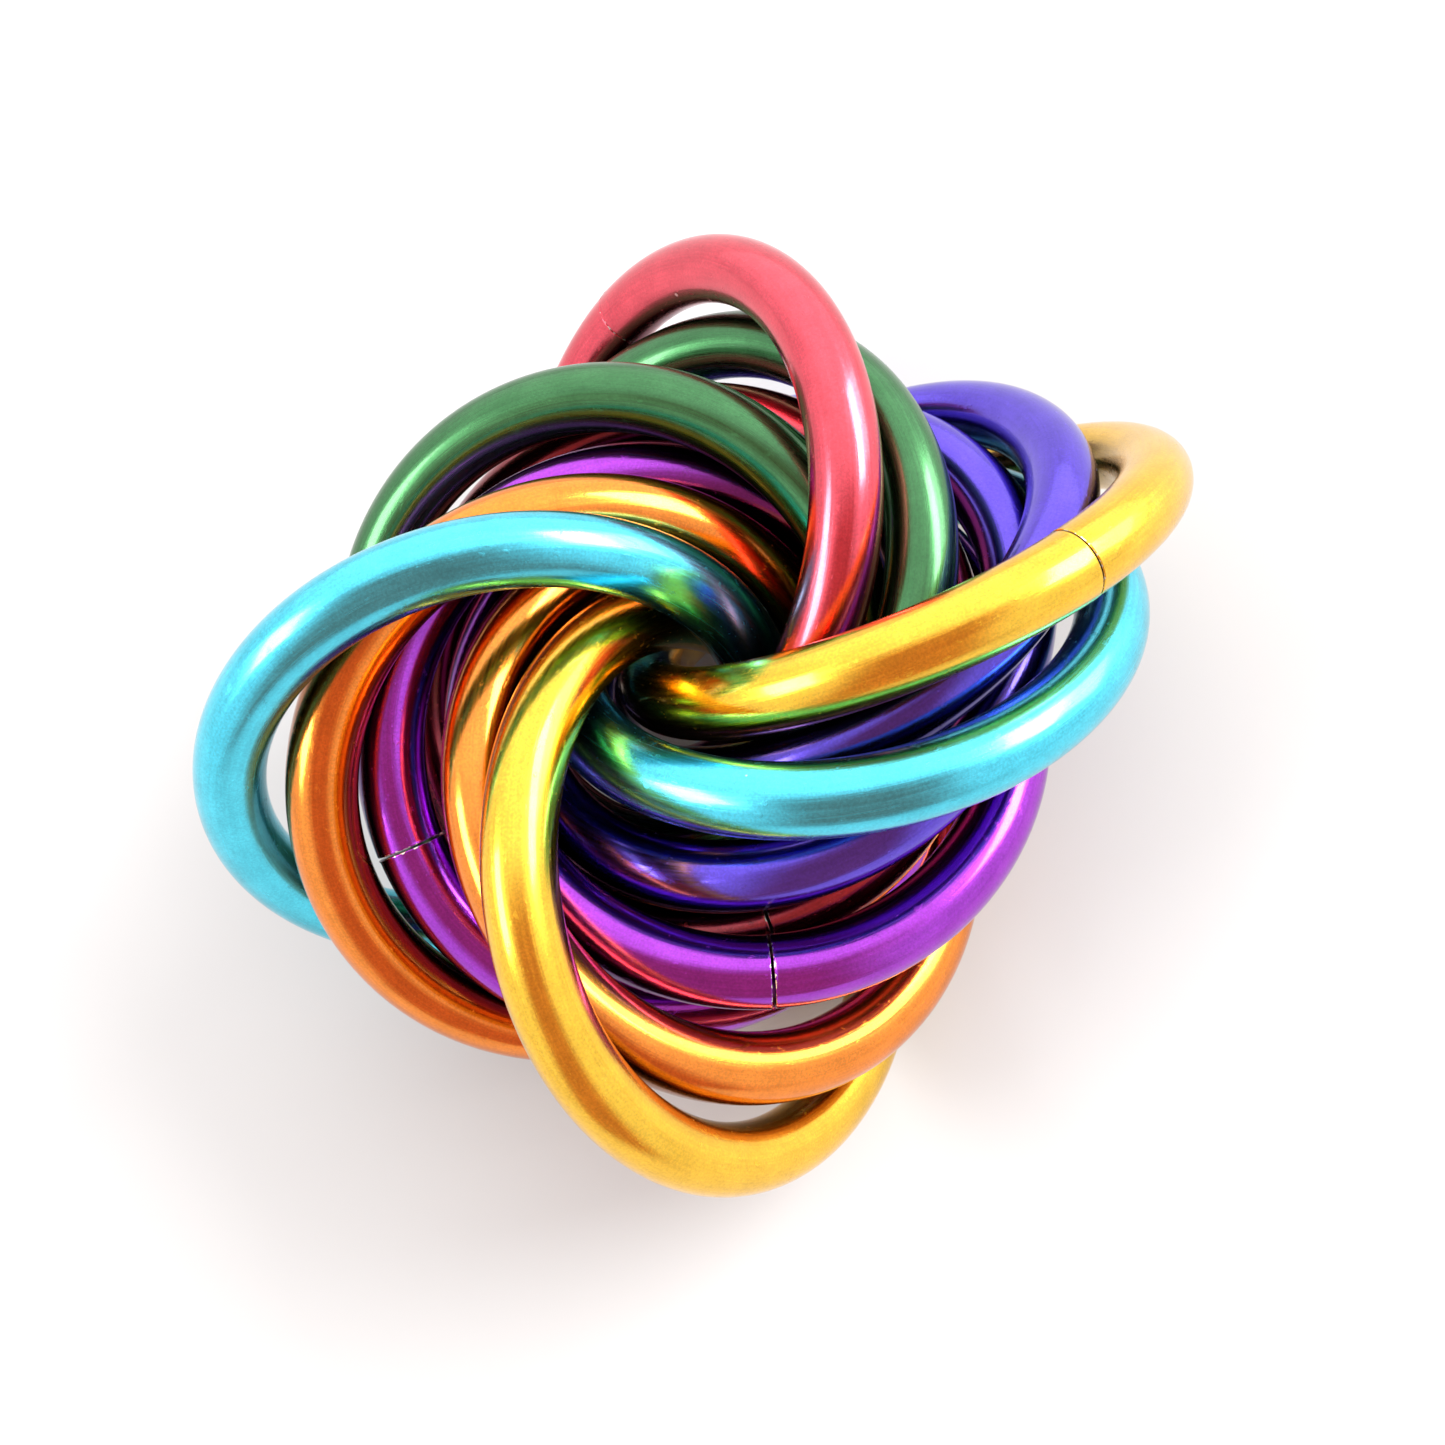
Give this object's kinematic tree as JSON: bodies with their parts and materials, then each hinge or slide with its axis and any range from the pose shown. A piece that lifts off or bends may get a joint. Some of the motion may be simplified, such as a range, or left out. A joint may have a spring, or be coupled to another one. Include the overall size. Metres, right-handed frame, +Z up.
{
  "type": "linked ring puzzle ball",
  "caption": "Fidget puzzle ball: a bundle of anodised wire rings, each linked through all the others, so the ball opens, turns and closes in the hand.",
  "frame": {"origin": "on the floor, below the middle of the ball's bounding box", "axes": "+Z up; +X along the ball's longest extent, from the turquoise ring that stands out on the left to the gold ring that stands out on the right; +Y away from the front"},
  "size_m": [0.0566, 0.0517, 0.0305],
  "materials": {
    "anodised_red": "high-gloss red anodised wire",
    "anodised_orange": "high-gloss orange anodised wire",
    "anodised_gold": "high-gloss gold anodised wire",
    "anodised_green": "high-gloss green anodised wire",
    "anodised_turquoise": "high-gloss turquoise anodised wire",
    "anodised_indigo": "high-gloss indigo anodised wire",
    "anodised_violet": "high-gloss violet anodised wire"
  },
  "bodies": {
    "ring_red_outer": {"ring_red_outer": "anodised_red"},
    "ring_gold_front": {"ring_gold_front": "anodised_gold"},
    "ring_gold_right": {"ring_gold_right": "anodised_gold"},
    "ring_red_inner": {"ring_red_inner": "anodised_red"},
    "ring_violet_right": {"ring_violet_right": "anodised_violet"},
    "ring_violet_left": {"ring_violet_left": "anodised_violet"},
    "ring_indigo_inner": {"ring_indigo_inner": "anodised_indigo"},
    "ring_green_outer": {"ring_green_outer": "anodised_green"},
    "ring_green_inner": {"ring_green_inner": "anodised_green"},
    "ring_orange_inner": {"ring_orange_inner": "anodised_orange"},
    "ring_orange_outer": {"ring_orange_outer": "anodised_orange"},
    "ring_turquoise_right": {"ring_turquoise_right": "anodised_turquoise"},
    "ring_indigo_outer": {"ring_indigo_outer": "anodised_indigo"},
    "ring_turquoise_left": {"ring_turquoise_left": "anodised_turquoise"}
  },
  "joints": [
    {"name": "red_outer_swing", "type": "hinge", "parent": "ring_red_inner", "child": "ring_red_outer", "pos_m": [-0.007, -0.003, 0.014], "axis": [0.136, -0.6109, 0.7799], "range_deg": [0, 5]},
    {"name": "gold_front_swing", "type": "hinge", "parent": "ring_red_inner", "child": "ring_gold_front", "pos_m": [0.001, 0, 0.014], "axis": [-0.318, 0.7421, 0.5901], "range_deg": [0, 10]},
    {"name": "gold_right_swing", "type": "hinge", "parent": "ring_red_inner", "child": "ring_gold_right", "pos_m": [0.004, 0.007, 0.018], "axis": [0.5288, 0.1309, -0.8386], "range_deg": [-14, 1]},
    {"name": "violet_right_slide_round", "type": "hinge", "parent": "ring_red_inner", "child": "ring_violet_right", "pos_m": [0.0013, -0.0023, 0.0144], "axis": [0.1845, 0.1131, 0.9763], "continuous": true},
    {"name": "violet_left_slide_round", "type": "hinge", "parent": "ring_red_inner", "child": "ring_violet_left", "pos_m": [-0.0037, -0.0017, 0.0142], "axis": [0.1907, -0.2937, 0.9367], "continuous": true},
    {"name": "indigo_inner_slide_round", "type": "hinge", "parent": "ring_red_inner", "child": "ring_indigo_inner", "pos_m": [0.0036, 0.0015, 0.0136], "axis": [-0.099, 0.3696, 0.9239], "continuous": true},
    {"name": "green_outer_swing", "type": "hinge", "parent": "ring_red_inner", "child": "ring_green_outer", "pos_m": [0.004, -0.008, 0.014], "axis": [-0.4238, -0.3168, -0.8485], "range_deg": [-10, 2]},
    {"name": "green_inner_slide_round", "type": "hinge", "parent": "ring_red_inner", "child": "ring_green_inner", "pos_m": [0.0014, 0.0056, 0.013], "axis": [-0.4463, 0.1894, 0.8746], "continuous": true},
    {"name": "orange_inner_slide_round", "type": "hinge", "parent": "ring_red_inner", "child": "ring_orange_inner", "pos_m": [-0.0015, -0.0061, 0.0136], "axis": [0.5635, -0.1405, 0.8141], "continuous": true},
    {"name": "orange_outer_swing", "type": "hinge", "parent": "ring_red_inner", "child": "ring_orange_outer", "pos_m": [-0.006, -0.008, -0.004], "axis": [-0.518, -0.34, -0.7849], "range_deg": [-7, 1]},
    {"name": "turquoise_right_swing", "type": "hinge", "parent": "ring_red_inner", "child": "ring_turquoise_right", "pos_m": [-0.009, 0.006, 0.016], "axis": [0.5861, 0.017, -0.8101], "range_deg": [-1, 16]},
    {"name": "indigo_outer_swing", "type": "hinge", "parent": "ring_red_inner", "child": "ring_indigo_outer", "pos_m": [-0.011, -0.001, 0.003], "axis": [-0.5931, 0.139, -0.7931], "range_deg": [-5, 2]},
    {"name": "turquoise_left_swing", "type": "hinge", "parent": "ring_red_inner", "child": "ring_turquoise_left", "pos_m": [0.002, -0.001, 0.014], "axis": [-0.4839, -0.2719, -0.8318], "range_deg": [-15, 9]}
  ]
}
